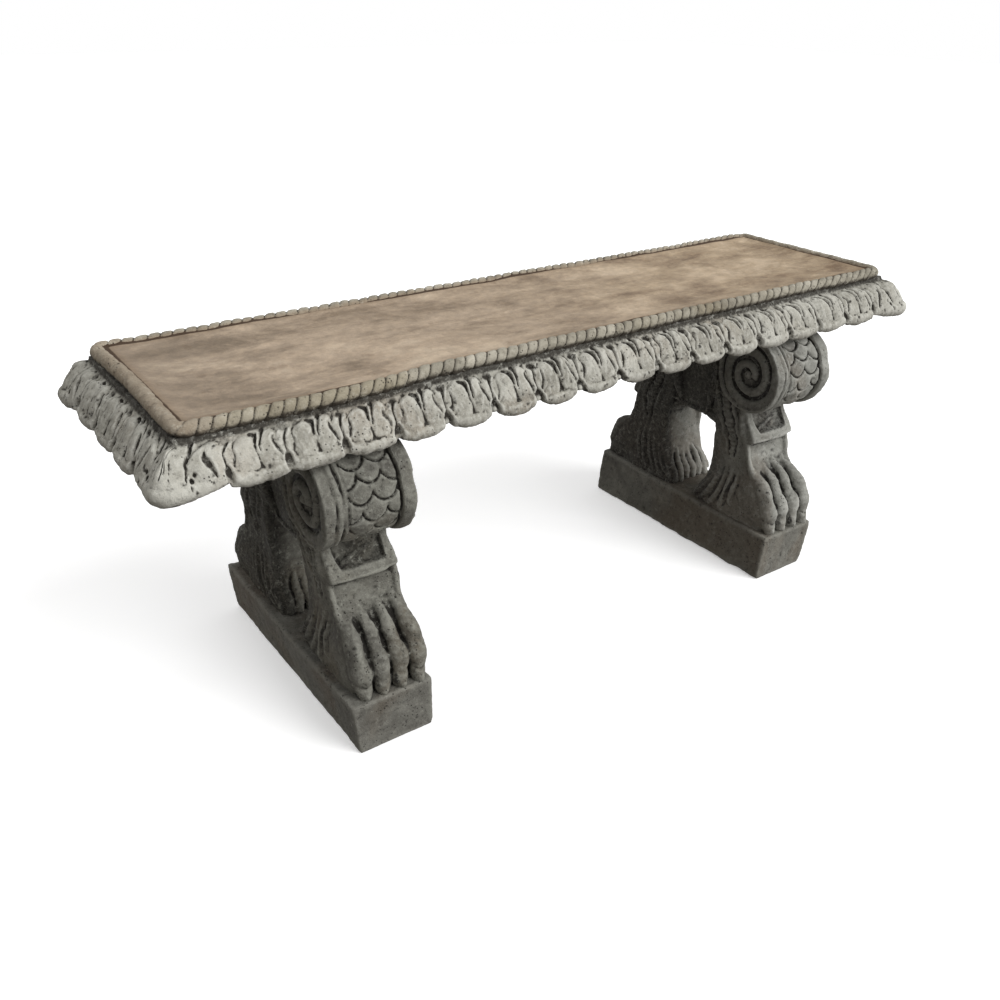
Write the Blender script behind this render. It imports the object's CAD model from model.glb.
"""Looks of the cast-stone garden bench: carved castings, antiqued stone, light and camera.

Carving is done in millimetres in a block of signed distances, and the skin of each block
becomes a mesh in metres in the frame of the CAD model.
"""
import math

import bpy
import numpy as np
from mathutils import Matrix, Vector


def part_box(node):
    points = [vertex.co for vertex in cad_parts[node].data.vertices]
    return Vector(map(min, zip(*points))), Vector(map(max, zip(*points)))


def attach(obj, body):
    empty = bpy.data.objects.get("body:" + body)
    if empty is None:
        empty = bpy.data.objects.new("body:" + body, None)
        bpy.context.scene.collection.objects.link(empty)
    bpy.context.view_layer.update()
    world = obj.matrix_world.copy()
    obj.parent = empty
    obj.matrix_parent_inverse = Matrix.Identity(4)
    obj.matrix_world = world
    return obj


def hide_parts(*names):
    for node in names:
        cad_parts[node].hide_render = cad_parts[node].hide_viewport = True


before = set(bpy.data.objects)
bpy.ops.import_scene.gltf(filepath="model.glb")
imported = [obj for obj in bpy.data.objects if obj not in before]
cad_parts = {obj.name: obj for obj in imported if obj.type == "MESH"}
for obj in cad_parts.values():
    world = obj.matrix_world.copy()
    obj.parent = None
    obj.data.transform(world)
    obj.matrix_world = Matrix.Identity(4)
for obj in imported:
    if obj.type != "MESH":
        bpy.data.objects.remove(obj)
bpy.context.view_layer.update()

MM = 0.001
carved_triangles, plain_triangles = 190000, 60000        # most that a casting keeps

# ---- places read from the frame (mm) --------------------------------------------------------
seat_low, seat_high = (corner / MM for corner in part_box("seat_slab"))
pedestal_boxes = {side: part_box(f"{side}_pedestal") for side in ("left", "right")}
pedestal_x = {side: (low.x + high.x) / 2 / MM for side, (low, high) in pedestal_boxes.items()}
pedestal_top = pedestal_boxes["left"][1].z / MM
plinth_half_y = pedestal_boxes["left"][1].y / MM
seat_bottom = seat_low.z
bench_top = seat_high.z


# ---- Carving kit ---------------------------------------------------------------------------
def smooth_min(a, b, soft):
    """The nearer of two distances, blended over soft millimetres."""
    if soft <= 0:
        return np.minimum(a, b)
    h = np.clip(0.5 + 0.5 * (b - a) / soft, 0, 1)
    return b + (a - b) * h - soft * h * (1 - h)


class Clay:
    """A block of signed distances (mm): negative inside, positive outside."""

    far = 12.0               # distance where there is no shape yet
    margin = 3.0             # a shape is measured this far outside its box
    wash_reach = 1.6         # the dark wash fades over this distance from a cut

    def __init__(self, low, high, step):
        self.step = step
        self.low = np.array(low, np.float32)
        counts = [int(round((b - a) / step)) + 1 for a, b in zip(low, high)]
        self.axes = [a + step * np.arange(n, dtype=np.float32) for a, n in zip(low, counts)]
        self.d = np.full(counts, self.far, np.float32)
        self.stain = np.zeros(counts, np.float32)

    def window(self, low, high, pad):
        """The part of the block within pad of a box, and its coordinates."""
        cut = []
        for axis, a, b in zip(self.axes, low, high):
            first = max(0, int((a - pad - axis[0]) / self.step))
            last = min(len(axis), int((b + pad - axis[0]) / self.step) + 2)
            cut.append(slice(first, max(first, last)))
        x, y, z = (axis[c] for axis, c in zip(self.axes, cut))
        return tuple(cut), x[:, None, None], y[None, :, None], z[None, None, :]

    def add(self, shape, soft=0.0):
        measure, low, high = shape
        cut, x, y, z = self.window(low, high, self.margin + soft)
        if self.d[cut].size:
            self.d[cut] = smooth_min(self.d[cut], measure(x, y, z), soft)

    def carve(self, shape, soft=0.0, stain=1.0):
        """Takes a shape away, and marks its walls for the dark wash."""
        measure, low, high = shape
        cut, x, y, z = self.window(low, high, self.margin + soft)
        if self.d[cut].size:
            gap = measure(x, y, z)
            self.d[cut] = -smooth_min(-self.d[cut], gap, soft)
            dark = stain * np.clip(1 - gap / self.wash_reach, 0, 1)
            self.stain[cut] = np.maximum(self.stain[cut], dark)


def blob(centre, radii):
    """An ellipsoid."""
    c, r = np.array(centre, float), np.array(radii, float)

    def measure(x, y, z):
        px, py, pz = x - c[0], y - c[1], z - c[2]
        near = np.sqrt((px / r[0]) ** 2 + (py / r[1]) ** 2 + (pz / r[2]) ** 2)
        steep = np.sqrt((px / r[0] ** 2) ** 2 + (py / r[1] ** 2) ** 2 + (pz / r[2] ** 2) ** 2)
        return near * (near - 1) / np.maximum(steep, 1e-6)

    return measure, c - r, c + r


def outline_distance(outline, u, v):
    """Signed distance from points (u, v) to a closed outline."""
    points = np.array(outline, float)
    nearest = np.full(np.broadcast(u, v).shape, 1e9)
    inside = np.zeros(nearest.shape, bool)
    for (au, av), (bu, bv) in zip(points, np.roll(points, -1, axis=0)):
        eu, ev = bu - au, bv - av
        along = np.clip(((u - au) * eu + (v - av) * ev) / (eu * eu + ev * ev + 1e-9), 0, 1)
        nearest = np.minimum(nearest, (u - au - along * eu) ** 2 + (v - av - along * ev) ** 2)
        if ev != 0:
            crosses = (av <= v) != (bv <= v)
            inside ^= crosses & (u < au + (v - av) * eu / ev)
    return np.where(inside, -1, 1) * np.sqrt(nearest)


def prism(outline, half, bevel=2.0, middle=0.0):
    """An outline of (y, z) points drawn out along X. half may be (levels, halves) by height."""
    points = np.array(outline, float)
    levels, halves = half if isinstance(half, tuple) else ((0, 1), (half, half))

    def measure(x, y, z):
        side = outline_distance(outline, y, z) + bevel
        end = np.abs(x - middle) - np.interp(z, levels, halves) + bevel
        outer = np.sqrt(np.maximum(side, 0) ** 2 + np.maximum(end, 0) ** 2)
        return outer + np.minimum(np.maximum(side, end), 0) - bevel

    low = (middle - max(halves), *points.min(0))
    high = (middle + max(halves), *points.max(0))
    return measure, low, high


def smooth_path(points, parts=5):
    """A Catmull-Rom curve through rows of numbers, sampled parts times between rows."""
    p = np.array(points, float)
    if len(p) < 3:
        t = np.linspace(0, 1, parts + 1)[:, None]
        return p[0] * (1 - t) + p[-1] * t
    p = np.vstack([2 * p[0] - p[1], p, 2 * p[-1] - p[-2]])
    rows = []
    for a, b, c, d in zip(p, p[1:], p[2:], p[3:]):
        for t in np.arange(parts) / parts:
            rows.append(0.5 * (2 * b + (c - a) * t + (2 * a - 5 * b + 4 * c - d) * t * t
                               + (3 * b - a - 3 * c + d) * t ** 3))
    rows.append(p[-2])
    return np.array(rows)


def strand(points, flat=(1, 1, 1), parts=4):
    """A tapering round rod through rows of (x, y, z, radius). flat squeezes it along an axis."""
    rows = smooth_path(points, parts)
    squeeze = np.array(flat, float)
    centres, radii = rows[:, :3], np.maximum(rows[:, 3], 0.2)
    reach = radii.max() / squeeze

    def measure(x, y, z):
        best = None
        sx, sy, sz = x * squeeze[0], y * squeeze[1], z * squeeze[2]
        for a, b, ra, rb in zip(centres * squeeze, centres[1:] * squeeze, radii, radii[1:]):
            e = b - a
            along = ((sx - a[0]) * e[0] + (sy - a[1]) * e[1] + (sz - a[2]) * e[2]) / (e @ e + 1e-9)
            along = np.clip(along, 0, 1)
            gap = np.sqrt((sx - a[0] - along * e[0]) ** 2 + (sy - a[1] - along * e[1]) ** 2
                          + (sz - a[2] - along * e[2]) ** 2) - (ra + (rb - ra) * along)
            best = gap if best is None else np.minimum(best, gap)
        return best / squeeze.max()

    return measure, centres.min(0) - reach, centres.max(0) + reach


def ripple(x, y, z, size, seed, waves=9, period=None):
    """Soft random noise, about -1 to 1, with features of roughly size millimetres.

    It repeats along x after period, if that is given."""
    dice = np.random.default_rng(seed)
    total = 0
    for _ in range(waves):
        way = dice.normal(size=3)
        way *= dice.uniform(0.6, 1.5) * 2 * math.pi / size / np.linalg.norm(way)
        if period:
            base = 2 * math.pi / period
            way[0] = round(way[0] / base) * base
        total = total + np.sin(x * way[0] + y * way[1] + z * way[2] + dice.uniform(0, 2 * math.pi))
    return total / math.sqrt(waves / 2) / 1.6


def weather(clay, seed, rough=((34, 0.9), (11, 0.45), (5, 0.22)), pits=300, pit_size=(0.9, 2.0),
            period=None):
    """Hand-cast unevenness over the whole block, and small air holes in its skin."""
    x, y, z = clay.axes[0][:, None, None], clay.axes[1][None, :, None], clay.axes[2][None, None, :]
    for number, (size, height) in enumerate(rough):
        clay.d += height * ripple(x, y, z, size, seed * 10 + number, period=period).astype(np.float32)
    dice = np.random.default_rng(seed)
    skin_cells = np.argwhere(np.abs(clay.d) < clay.step * 0.6)
    for cell in skin_cells[dice.integers(0, len(skin_cells), pits)]:
        size = dice.uniform(*pit_size) * dice.uniform(0.6, 1)
        centre = [axis[i] for axis, i in zip(clay.axes, cell)]
        clay.carve(blob(centre, (size, size, size)), 0.6)


def skin(clay, loop=False):
    """Surface nets: one point per cell that the surface crosses. loop closes the first axis."""
    d = np.concatenate([clay.d, clay.d[:1]]) if loop else clay.d
    solid = d < 0
    shape = np.array(d.shape) - 1
    corners = [(i, j, k) for i in (0, 1) for j in (0, 1) for k in (0, 1)]
    count = sum(solid[i:i + shape[0], j:j + shape[1], k:k + shape[2]].astype(np.int8)
                for i, j, k in corners)
    cells = np.argwhere((count > 0) & (count < 8))
    number = np.full(shape, -1, np.int64)
    number[tuple(cells.T)] = np.arange(len(cells))
    points = np.zeros((len(cells), 3))
    hits = np.zeros((len(cells), 1))
    for a in corners:
        for axis in range(3):
            if a[axis]:
                continue
            b = tuple(a[i] + (i == axis) for i in range(3))
            da, db = d[tuple((cells + a).T)], d[tuple((cells + b).T)]
            cross = (da < 0) != (db < 0)
            t = (da[cross] / (da[cross] - db[cross]))[:, None]
            points[cross] += np.array(a) + t * (np.array(b) - np.array(a))
            hits[cross] += 1
    points = clay.low + clay.step * (cells + points / hits)
    quads = []
    for axis in range(3):
        u, v = (axis + 1) % 3, (axis + 2) % 3
        first = np.moveaxis(solid, axis, 0)
        cross = np.moveaxis(first[:-1] != first[1:], 0, axis)
        spots = np.argwhere(cross)
        ok = np.ones(len(spots), bool)
        for side in (u, v):
            low = 0 if loop and side == 0 else 1
            ok &= (spots[:, side] >= low) & (spots[:, side] < shape[side])
        spots = spots[ok]
        outward = solid[tuple(spots.T)]
        ring = []
        for du, dv in ((1, 1), (0, 1), (0, 0), (1, 0)):
            cell = spots.copy()
            cell[:, u] -= du
            cell[:, v] -= dv
            ring.append(number[tuple(cell.T)])
        ring = np.stack(ring, 1)
        ring[~outward] = ring[~outward, ::-1]
        quads.append(ring)
    return points, np.concatenate(quads)


def blurred(field, reach):
    """Three box blurs in each direction, close to a Gaussian."""
    out = field
    for axis in range(3):
        for _ in range(3):
            out = np.moveaxis(out, axis, 0)
            padded = np.concatenate([out[:1]] * (reach + 1) + [out] + [out[-1:]] * reach)
            total = np.cumsum(padded, axis=0, dtype=np.float64)
            out = ((total[2 * reach + 1:] - total[:-2 * reach - 1]) / (2 * reach + 1))
            out = np.moveaxis(out.astype(np.float32), 0, axis)
    return out


def hollows(clay, near=1, far=4):
    """How deep each place lies between raised parts: above 0 in a hollow, below 0 on an edge."""
    solid = np.clip(0.5 - clay.d / (2 * clay.step), 0, 1)
    return [blurred(solid, near) - 0.5, blurred(solid, far) - 0.5]


def sample(clay, field, points):
    """Field values at points, read between the block's samples."""
    at = (points - clay.low) / clay.step
    limit = np.array(field.shape) - 1.001
    at = np.clip(at, 0, limit)
    base = at.astype(int)
    part = at - base
    total = 0
    for i in (0, 1):
        for j in (0, 1):
            for k in (0, 1):
                weight = ((part[:, 0] if i else 1 - part[:, 0]) * (part[:, 1] if j else 1 - part[:, 1])
                          * (part[:, 2] if k else 1 - part[:, 2]))
                total = total + weight * field[base[:, 0] + i, base[:, 1] + j, base[:, 2] + k]
    return total


def mesh_piece(name, points, faces, values=None):
    """A shown piece from points in millimetres, with optional named values per point."""
    mesh = bpy.data.meshes.new(name)
    mesh.from_pydata((np.asarray(points) * MM).tolist(), [], [tuple(face) for face in faces])
    mesh.update()
    for key, numbers in (values or {}).items():
        layer = mesh.attributes.new(key, "FLOAT", "POINT")
        layer.data.foreach_set("value", np.asarray(numbers, np.float32))
    mesh.shade_smooth()
    piece = bpy.data.objects.new(name, mesh)
    bpy.context.scene.collection.objects.link(piece)
    return piece


def thin_out(points, faces, most):
    """Fewer triangles where the surface is plain, keeping at most about most of them."""
    triangles = len(faces) * 2
    if triangles <= most:
        return points, faces
    mesh = bpy.data.meshes.new("thin_out")
    mesh.from_pydata(points.tolist(), [], faces.tolist())
    work = bpy.data.objects.new("thin_out", mesh)
    bpy.context.scene.collection.objects.link(work)
    fewer = work.modifiers.new("fewer", "DECIMATE")
    fewer.ratio = most / triangles
    seen = work.evaluated_get(bpy.context.evaluated_depsgraph_get())
    result = seen.to_mesh()
    new_points = np.empty(len(result.vertices) * 3, np.float64)
    result.vertices.foreach_get("co", new_points)
    new_faces = [tuple(face.vertices) for face in result.polygons]
    seen.to_mesh_clear()
    bpy.data.objects.remove(work)
    bpy.data.meshes.remove(mesh)
    return new_points.reshape(-1, 3), new_faces


# ---- Pedestal: plinth, lion legs, volutes and pendant (mm, x from its own middle) ----------
volute_y, volute_z = -113.0, pedestal_top - 59
volute_core = 50.5           # barrel under the scales
volute_edge = 59.5           # outside of the broad rim
volute_half = 54.0
# rims round the barrel: (x, half width, rise, how square it is, how far it wanders)
volute_rims = ((45.5, 9.5, 9.0, 0.35, 0), (-48, 7.5, 6.2, 0.5, 0.6), (-36, 4.8, 5.6, 0.7, 1.6),
               (-27.5, 3.2, 4.0, 0.8, 1.6))
spiral_start, spiral_pitch, spiral_turns = 54.0, 19.5, 2.35
spiral_depth = 6.0           # how far the ground between its coils is sunk


def ridge(distance, half_width):
    """1 in the middle of a rounded ridge, 0 beside it."""
    return np.sqrt(np.clip(1 - (distance / half_width) ** 2, 0, 1))


def fish_scales(x, s, low, high):
    """Height of rows of overlapping scales; s runs down the barrel, x across it."""
    size, row_step, column_step = 17.6, 19.5, 29.0
    height = np.zeros(np.broadcast(x, s).shape, np.float32)
    for row in range(10, -4, -1):
        shift = column_step / 2 * (row % 2) + 5
        column = np.round((x - shift) / column_step)
        across = (x - shift - column * column_step) * 1.12
        down = s - row * row_step + 1.5 * np.sin(column * 2.3 + row)
        reach = np.sqrt(across ** 2 + down ** 2)
        tilt = 1.3 * np.clip((down + size) / (2 * size), 0, 1)
        tile = 1.6 + 0.5 * np.sin(column * 5.1 + row * 3.7) + tilt + 2.6 * ridge(reach, size * 1.03)
        cover = np.clip((size + 1.0 - reach) / 0.8 + 0.5, 0, 1)
        flank = np.clip((size - 1.0 - reach) / 1.8 + 0.5, 0, 1)
        height = height * (1 - cover) + tile * flank * cover
    return height * np.clip((x - low) / 2 + 0.5, 0, 1) * np.clip((high - x) / 2 + 0.5, 0, 1)


def volute():
    """The scroll: scales between raised rims, and a spiral sunk in each end."""
    def measure(x, y, z):
        back, up = y - volute_y, z - volute_z
        reach = np.sqrt(back ** 2 + up ** 2)
        turn = np.arctan2(-back, up)
        barrel = volute_core + fish_scales(x, turn * volute_core, -25, 35)
        for place, half, rise, sharp, wave in volute_rims:
            bend = wave * np.sin(turn * 4.2 + place)
            barrel = np.maximum(barrel, volute_core + rise * ridge(x - place - bend, half) ** sharp)
        whole_turn = np.where(turn < 0, turn + 2 * math.pi, turn)
        coil = np.zeros(reach.shape)
        for lap in range(3):
            travelled = whole_turn / (2 * math.pi) + lap
            arm = spiral_start - spiral_pitch * travelled
            width = np.clip(8.4 - 1.3 * travelled, 3, 9)
            shown = np.clip((spiral_turns - travelled) * 12, 0, 1)
            coil = np.maximum(coil, shown * ridge(reach - arm, width) ** 1.1)
        coil = np.maximum(coil, ridge(reach - 55.5, 6.5) ** 0.5)
        coil = np.maximum(coil, ridge(reach, 6.5))
        face = volute_half - spiral_depth * (1 - coil)
        return np.maximum(reach - barrel, np.abs(x) - face) * 0.9

    low = (-volute_half, volute_y - volute_edge, volute_z - volute_edge)
    high = (volute_half, volute_y + volute_edge, volute_z + volute_edge)
    return measure, low, high


def both_sides(work, points, soft, parts=4, **more):
    """Adds or carves a strand through rows of (x, y, z, radius), and its mirror image in X."""
    for side in (1, -1):
        work(strand(np.array(points, float) * (side, 1, 1, 1), parts=parts), soft, **more)


def carve_leg(clay):
    """One front lion leg with its half of the apron between the legs."""
    # body between the volutes, with the apron that hangs from it
    clay.add(prism([
        (8, 363), (-112, 363), (-112, 300), (-72, 230), (-64, 190), (-57, 186), (-42, 194), (-18, 203),
        (8, 206)], 30, 4), 0)
    # shank
    shank = [(-28, 56), (-30, 84), (-41, 104), (-50, 135), (-57, 180), (-48, 204), (-42, 224), (-42, 290),
             (-118, 290), (-112, 250), (-106, 237), (-107, 226), (-113, 205), (-118, 190), (-121, 172),
             (-126, 160), (-135, 149), (-148, 134), (-152, 56)]
    clay.add(prism(shank, ((56, 105, 150, 185, 212, 232, 262, 290), (44, 43, 41.5, 42, 42.5, 41, 42, 44)),
                   6), 3)
    clay.add(volute(), 1.5)
    # collar: a flat frame round a shallow window, with a crisp ledge below
    collar = [
        (-90, 243), (-107, 243), (-117, 226), (-127, 211), (-130, 205), (-129, 197), (-120, 192),
        (-90, 192)]
    clay.add(prism(collar, ((192, 200, 212, 243), (41.5, 43.8, 43, 41)), 4), 3)
    window = [(-150, 252), (-99, 252), (-107, 234), (-114, 220), (-119, 213), (-122, 210), (-150, 210)]
    clay.carve(prism(window, ((210, 250), (28, 32)), 2.5, middle=1), 2, stain=0.6)
    clay.add(strand([
        (-22, -119, 216, 2.5), (-8, -116, 219, 3.2), (10, -113, 224, 2.6), (20, -112, 226, 1.5)]), 3)
    clay.add(strand([(-41, -128.5, 199.5, 2.0), (0, -130.5, 198.5, 2.7), (41, -128.5, 200, 2.0)]), 1.2)
    # paw
    sole = [
        (-40, 56), (-163, 56), (-168, 84), (-166, 104), (-157, 120), (-146, 132), (-134, 142), (-112, 151),
        (-50, 138)]
    clay.add(prism(sole, ((56, 110, 150), (44, 43, 37)), 9), 5)
    carve_toes(clay)
    carve_fur(clay)
    carve_leaf_strand(clay)
    carve_apron(clay)


def carve_toes(clay):
    """Four fat toes with two knuckles each, short claws and dark corners between them."""
    # (x at the top, x at the knuckles, step forward, step up)
    toes = ((-35, -34.5, 1, -4), (-12, -11.5, 0, 0), (9.5, 12, -1, 2), (31, 35.5, -1, 2))
    for top, low, ahead, up in toes:
        clay.add(strand([
            (top, -114 + ahead, 161 + up, 3.5), (top, -127 + ahead, 152 + up, 5.6),
            ((2 * top + low) / 3, -140 + ahead, 143 + up, 7.2),
            ((top + low) / 2, -151.5 + ahead, 131 + up, 9.0), (low, -160 + ahead, 117 + up, 8.8),
            (low, -169 + ahead, 103 + up, 12.8), (low, -171 + ahead, 89 + up / 2, 9.4),
            (low, -172 + ahead, 78, 9.8), (low, -175 + ahead / 2, 70, 7.5)]), 3.0)
        clay.add(blob((low, -180 + ahead / 2, 71), (3.8, 5, 5.0)), 2.5)
        clay.carve(strand([(low - 8, -177 + ahead, 87, 0.8), (low, -179 + ahead, 83, 1.4),
                           (low + 8, -177 + ahead, 87, 0.8)]), 1.2, stain=0.6)
    # swelling of the paw beside the outer toes, and the fold under it
    for side in (-1, 1):
        clay.add(blob((side * 36, -142, 113), (12.5, 32, 31)), 8)
        clay.add(blob((side * 38, -157, 91), (10, 21, 20)), 6)
        clay.carve(strand([
            (side * 47, -114, 106, 1.5), (side * 49, -122, 91, 3), (side * 50, -138, 82, 3.4),
            (side * 50, -156, 76, 3), (side * 48, -170, 72, 2)]), 3, stain=0.7)
        clay.carve(strand([
            (side * 45, -132, 150, 1.2), (side * 49, -146, 130, 3), (side * 50, -158, 108, 2.6),
            (side * 49, -168, 90, 1.5)]), 3, stain=0.25)
    # folds between the toes, open where they start and where they end
    for top, low, up in ((-23.5, -23, -3), (-1.5, 0.3, 1), (20, 23.8, 3)):
        clay.carve(strand([
            (top, -134, 152 + up, 1.5), (top, -142, 146 + up, 4.4), (top, -150, 138 + up, 3.6)]), 2.5)
        clay.carve(strand([(top, -150, 138 + up, 3.0), ((top + low) / 2, -161, 126 + up, 2.0),
                           (low, -173, 112 + up, 1.2), (low, -181, 100 + up, 1.8)]), 2.5, stain=0.35)
        clay.carve(strand([(low, -181, 95, 2.4), (low, -182, 86, 4.2), (low, -183, 74, 5.2)]), 2.5)


def carve_fur(clay):
    """Tendons, locks of fur that fan back over the ankle, and tufts behind the leg."""
    both_sides(clay.add, [
        (41, -119, 192, 3), (41, -121, 178, 4), (40, -125, 162, 4.4), (38.5, -132, 148, 5),
        (36, -141, 136, 6)], 3)
    both_sides(clay.carve, [
        (34.5, -124, 176, 0.8), (34, -128, 164, 1.5), (32, -133, 154, 1.0)], 1.5, stain=0.6)
    both_sides(clay.add, [
        (40, -101, 250, 4), (41.5, -104, 226, 4.5), (42, -111, 206, 4.5), (40, -116, 192, 3)], 4)
    # (start, upper, lower, end) as (y, z), then the tip's curl and the lock's thickness
    locks = (
        ((-66, 138), (-58, 117), (-46, 97), (-33, 82), 5, 5.2),
        ((-76, 146), (-70, 122), (-60, 99), (-47, 79), 5, 6.2),
        ((-86, 150), (-84, 125), (-76, 100), (-65, 77), 6, 6.6),
        ((-96, 153), (-96, 128), (-91, 103), (-83, 78), -5, 6.6),
        ((-107, 154), (-108, 131), (-104, 112), (-100, 92), -4, 5.8))
    for number, (start, upper, lower, end, curl, thick) in enumerate(locks):
        proud = math.sin(number * 2.4)
        both_sides(clay.add, [
            (37.5, *start, 2.4), (40.5 + proud, *upper, 0.8 * thick), (42.5 + proud, *lower, thick),
            (43.5, *end, 0.75 * thick), (44, end[0] + curl, end[1] - 6, 0.42 * thick)], 1.0)
        both_sides(clay.carve, [
            (43, start[0] + 5, start[1] - 8, 0.8), (46 + proud, upper[0] + 6, upper[1] - 2, 1.6),
            (48 + proud, lower[0] + 7, lower[1] - 2, 2.4), (48, end[0] + 8, end[1], 2.0)], 1.6, stain=0.8)
    # tufts on the back of the leg
    for number, x in enumerate((-33, -20, -6, 8, 21, 34)):
        drop = 4 * math.sin(number * 1.9)
        clay.add(strand([(x * 0.8, -45, 112 + drop, 3), (x, -39, 98 + drop, 5.4), (x + 1, -32, 84, 6.6),
                         (x - 1, -26, 71, 5.5)]), 2)
    both_sides(clay.add, [
        (35, -52, 300, 3), (37, -52, 250, 4.5), (37, -57, 205, 5), (37, -56, 160, 5), (36, -53, 130, 4)],
        2.5)


def carve_leaf_strand(clay):
    """The crimped leaf that runs down the side of a leg and ends in a twisted point."""
    level = np.arange(150.0, 300, 7)
    back = np.interp(level, (150, 165, 184, 205, 236, 262, 300), (-90, -84, -77, -69, -57, -50, -46))
    front = np.interp(level, (150, 165, 184, 205, 236, 262, 300), (-91, -99, -105, -103, -88, -79, -74))
    thick = np.interp(level, (150, 170, 240, 300), (1.4, 3.4, 4.0, 4.4))
    crimp = 1.5 * np.sin(level / 4.3)
    out = np.interp(level, (150, 190, 212, 240, 300), (39, 41, 42.5, 41, 42))
    for edge, wave in ((back, crimp), (front, -crimp)):
        both_sides(clay.add, np.stack([out, edge + wave, level, thick + 0.25 * wave], -1), 1.2, parts=2)
    middle, half = (back + front) / 2, (back - front) / 2
    for number, at in enumerate(range(2, len(level) - 4)):
        for side in (-1, 1):
            x = side * (out[at] + 0.3)
            nudge = 2.2 * math.sin(number * 2.1)
            tall = 4.3 + math.sin(number * 3.7)
            clay.add(blob((x, middle[at] + nudge, level[at]), (4.2, max(2.4, half[at] * 0.46), tall)), 1.8)
            for way in (-1, 1):
                clay.carve(blob((side * (out[at] + 2.5), middle[at] + way * half[at] * 0.62, level[at] + 3),
                                (3.0, 1.6, 4.0)), 1.4, stain=0.5)


def carve_apron(clay):
    """The smooth apron between the legs: a plate with a beaded edge, and a folded leaf beside it."""
    clay.add(prism([(8, 356), (-56, 356), (-58, 260), (-54, 216), (-40, 210), (8, 208)], 33, 3), 1.5)
    both_sides(clay.add, [
        (34, 4, 209.5, 2.6), (34, -20, 210, 2.6), (34, -44, 213, 2.4), (35, -56, 220, 2.2)], 1.0)
    both_sides(clay.add, [
        (31, -50, 350, 4), (35, -47, 310, 6.5), (37, -43, 275, 8.0), (37, -38, 248, 7.0),
        (35.5, -31, 226, 4.2), (34, -25, 208, 1.6)], 1.6)
    for offset, bend in ((0, 0), (5, 3), (-5, -3)):
        both_sides(clay.carve, [
            (39, -48 + offset / 2, 335, 0.7), (43, -46 + offset, 285, 1.3), (43, -42 + bend, 250, 1.3),
            (38, -38, 232, 0.8)], 0.8, stain=0.6)
    both_sides(clay.add, [(31, 6, 357, 5), (33, -20, 356, 5.5), (36, -48, 356, 6)], 2)


def mirrored(clay):
    """The block and its mirror image across y = 0, which is its last layer."""
    whole = Clay.__new__(Clay)
    whole.step, whole.low = clay.step, clay.low
    whole.d = np.concatenate([clay.d, clay.d[:, -2::-1]], axis=1)
    whole.stain = np.concatenate([clay.stain, clay.stain[:, -2::-1]], axis=1)
    second = -clay.axes[1][-2::-1]
    whole.axes = [clay.axes[0], np.concatenate([clay.axes[1], second]), clay.axes[2]]
    return whole


def casting(name, clay, most, shift=(0, 0, 0), loop=False, wrap=None):
    """Turns a block into a shown piece with its hollow and edge values."""
    near, far = hollows(clay)
    points, faces = skin(clay, loop)
    points, faces = thin_out(points, faces, most)
    values = {"near": sample(clay, near, points), "far": sample(clay, far, points),
              "stain": sample(clay, clay.stain, points)}
    if wrap:
        points = wrap(points)
    return mesh_piece(name, points + np.array(shift), faces, values)


def build_pedestal_clay():
    """Half of the carved pedestal above its plinth, mirrored front to back."""
    step = 1.6
    clay = Clay((-60, -192, 54), (60, 0, 366), step)
    carve_leg(clay)
    return mirrored(clay)


def shelter_wash(clay):
    """The dark wash that was never rubbed off the sheltered inner faces, behind the front legs."""
    x, y = clay.axes[0][:, None, None], clay.axes[1][None, :, None]
    kept = 0.6 * np.clip((-x - 12) / 20, 0, 1) * np.clip((y + 95) / 50, 0, 1)
    clay.stain = np.maximum(clay.stain, kept).astype(np.float32)


def lean_over(points, foot, head):
    """Shifts a pedestal's points along X: foot at the paws, head at the top, as the casting stands."""
    points[:, 0] += head + (foot - head) * np.clip((290 - points[:, 2]) / 120, 0, 1)
    return points


def build_plinth_clay(seed, foot_shift, top_shift, top_half):
    """The plain block under the paws, worn at its edges and not quite square."""
    step = 2.4
    half_y, top = plinth_half_y - 0.5, 67.0
    clay = Clay((-62, -half_y - 7, -6), (62, half_y + 7, 76), step)
    block = [(-half_y - 3, 0.4), (half_y - 2, 0.4), (half_y, top - 14), (half_y, top + 4), (60, top),
             (-half_y - 2, top)]
    measure, low, high = prism(block, ((0, top), (49.5, top_half)), 3.0)
    clay.add((lambda x, y, z: measure(x - foot_shift - (top_shift - foot_shift) * z / top, y, z),
              np.array(low) - (8, 0, 0), np.array(high) + (8, 0, 0)))
    clay.carve(blob((60 + foot_shift, -half_y - 3, -2), (12, 18, 10)), 5, stain=0.3)
    weather(clay, seed, rough=((60, 0.45), (21, 0.3), (8, 0.22)), pits=90, pit_size=(1.0, 2.2))
    clay.d = np.maximum(clay.d, 0.3 - clay.axes[2][None, None, :])
    return clay


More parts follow.
